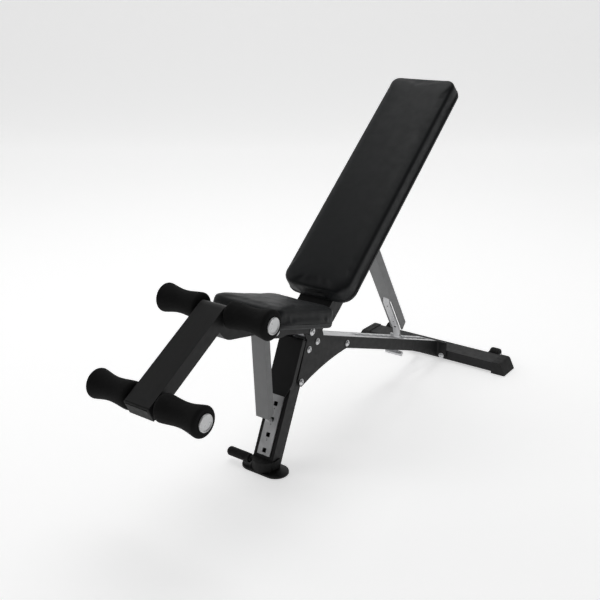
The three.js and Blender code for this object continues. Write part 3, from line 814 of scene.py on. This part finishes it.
def weld(name, points, body, place, radius=2.2):
    """A rippled weld bead, painted with the frame."""
    line = [Vector(p) for p in points]
    bm = bmesh.new()
    ripple, sides, step = 2.4 * MM, 10, 0.6 * MM
    rows = []
    travelled = 0.0
    for a, b in zip(line, line[1:]):
        along = (b - a).normalized()
        across = along.cross(Vector((1, 0, 0)) if abs(along.x) < 0.9 else Vector((0, 0, 1))).normalized()
        other = along.cross(across)
        count = max(2, int((b - a).length / step))
        for i in range(count + 1):
            share = i / count
            fade = 0.35 if (i == 0 or i == count) else 1.0
            wave = 0.86 + 0.14 * abs(math.sin(math.pi * (travelled + (b - a).length * share) / ripple))
            reach = radius * MM * wave * fade
            centre = a.lerp(b, share)
            row = []
            for k in range(sides):
                angle = 2 * math.pi * k / sides
                spoke = across * math.cos(angle) + other * math.sin(angle)
                row.append(bm.verts.new(centre + spoke * reach))
            rows.append(row)
        travelled += (b - a).length
    for low, high in zip(rows, rows[1:]):
        for k in range(sides):
            bm.faces.new((low[k], low[(k + 1) % sides], high[(k + 1) % sides], high[k]))
    bm.faces.new(rows[0])
    bm.faces.new(rows[-1])
    obj = smoothed(made(name, bm), 70)
    obj.data.transform(place)
    settle(obj, body, "frame_paint", PAINT)


def welds():
    """Beads where the leg arm meets its neck, and where the cross plates meet the spine."""
    under = local_box("leg_arm", ARM)[0].z
    for sign in (1, -1):
        edge = sign * 31 * MM
        weld(f"arm_weld_{sign + 2}", [(edge, -44 * MM, under), (edge, 10 * MM, under)], "seat", ARM)
    for level in ("lower", "upper"):
        plate_low, plate_high = local_box("back_cross_plate_" + level, BACK)
        for i, y in enumerate((plate_low.y, plate_high.y)):
            points = [(-28 * MM, y, plate_low.z), (28 * MM, y, plate_low.z)]
            weld(f"cross_weld_{level}_{i}", points, "backrest", BACK, 1.8)


def tongue_rivets_and_hole_shade():
    """Two small rivets on the strut's bright tongue, and a bigger dark dome that paints the shade in the tongue's
    hole.
    """
    pin = joint_place("strut_fold_a")
    place = Matrix.Translation(pin) @ Matrix.Rotation(STRUT_LEAN, 4, "X")
    for i, (along, radius) in enumerate(TONGUE_RIVETS_AND_HOLE_SHADE):
        dome = scaled([(0, 0), (0, radius), (0.7, radius * 0.85), (1.1, radius * 0.45), (1.2, 0)])
        rivet = turned(f"tongue_dome_{i + 1}", dome, Vector((0, 0, 0)), steps=24)
        turn = Matrix.Rotation(math.pi / 2, 4, "Y")
        rivet.data.transform(place @ Matrix.Translation((0, along * MM, -TONGUE_FACE)) @ turn)
        # all three take the dark frame paint; on the bigger third dome it is painted shade for the hole
        settle(rivet, "back_strut", "zinc_steel", PAINT)


# ---- studio -------------------------------------------------------------------------------------
def studio():
    """A pale floor that sweeps up behind the bench, under soft light."""
    look = Look("studio_paper", (0.80, 0.80, 0.80), 0.9)
    look.bump(look.noise(60, 3), 0.02, 0.2 * MM)
    look.socket("Emission Color", (1, 1, 1, 1)).socket("Emission Strength", 0.545)
    bm = bmesh.new()
    reach, start, radius, height, steps = 14.0, 5.0, 3.0, 9.0, 16
    line = [(-9.0, 0.0), (start, 0.0)]
    for i in range(1, steps + 1):
        angle = math.pi / 2 * i / steps
        line.append((start + radius * math.sin(angle), radius * (1 - math.cos(angle))))
    line.append((start + radius, height))
    turn = Matrix.Rotation(CAMERA_AZIMUTH, 4, "Z")
    rows = [[bm.verts.new(turn @ Vector((x, y, z))) for x in (-reach, reach)] for y, z in line]
    for low, high in zip(rows, rows[1:]):
        bm.faces.new((low[0], low[1], high[1], high[0]))
    floor = smoothed(made("studio_floor", bm), 60)
    floor.data.transform(Matrix.Translation((0, 0, -0.2 * MM)))
    if floor.data.polygons[0].normal.z < 0:
        floor.data.flip_normals()
    floor.data.materials.append(look.material)


def soft_light(name, place, target, size, power):
    lamp = bpy.data.lights.new(name, "AREA")
    lamp.shape = "DISK"
    lamp.size = size
    lamp.energy = power
    obj = bpy.data.objects.new(name, lamp)
    obj.location = place
    obj.rotation_euler = (Vector(target) - Vector(place)).to_track_quat("-Z", "Y").to_euler()
    bpy.context.scene.collection.objects.link(obj)


def lights():
    world = bpy.data.worlds.new("studio")
    world.use_nodes = True
    background = world.node_tree.nodes["Background"]
    background.inputs["Color"].default_value = (1, 1, 1, 1)
    background.inputs["Strength"].default_value = 0.10
    bpy.context.scene.world = world
    soft_light("overhead", (-0.6, 0.9, 4.2), (0, 0.1, 0.2), 3.2, 62)
    soft_light("left_fill", (-3.4, -2.2, 2.8), (0, 0, 0.4), 2.4, 22)


CAMERA_FROM_FOOT = Vector((1.3347, -1.6692, 1.2935))
CAMERA_AZIMUTH = math.radians(35.967)
CAMERA_DROP = math.radians(19.985)
CAMERA_LENS = 50.858
SENSOR_WIDTH = 36


def camera():
    data = bpy.data.cameras.new("camera")
    data.lens = CAMERA_LENS
    data.sensor_width = SENSOR_WIDTH
    obj = bpy.data.objects.new("camera", data)
    foot = middle("front_foot_plate")
    obj.location = CAMERA_FROM_FOOT + Vector((0, foot.y, 0))
    obj.rotation_euler = (math.pi / 2 - CAMERA_DROP, 0, CAMERA_AZIMUTH)
    bpy.context.scene.collection.objects.link(obj)
    bpy.context.scene.camera = obj


# ---- everything ---------------------------------------------------------------------------------
camera()
studio()
lights()
frame_pieces()
turned_pieces()
pad("back_pad", "back_board", "backrest", BACK, (40, 28))
pad("seat_pad", "seat_board", "seat", SEAT, (30, 30))
ladder_numbers()
welds()
tongue_rivets_and_hole_shade()
bpy.context.scene.view_settings.view_transform = "Standard"
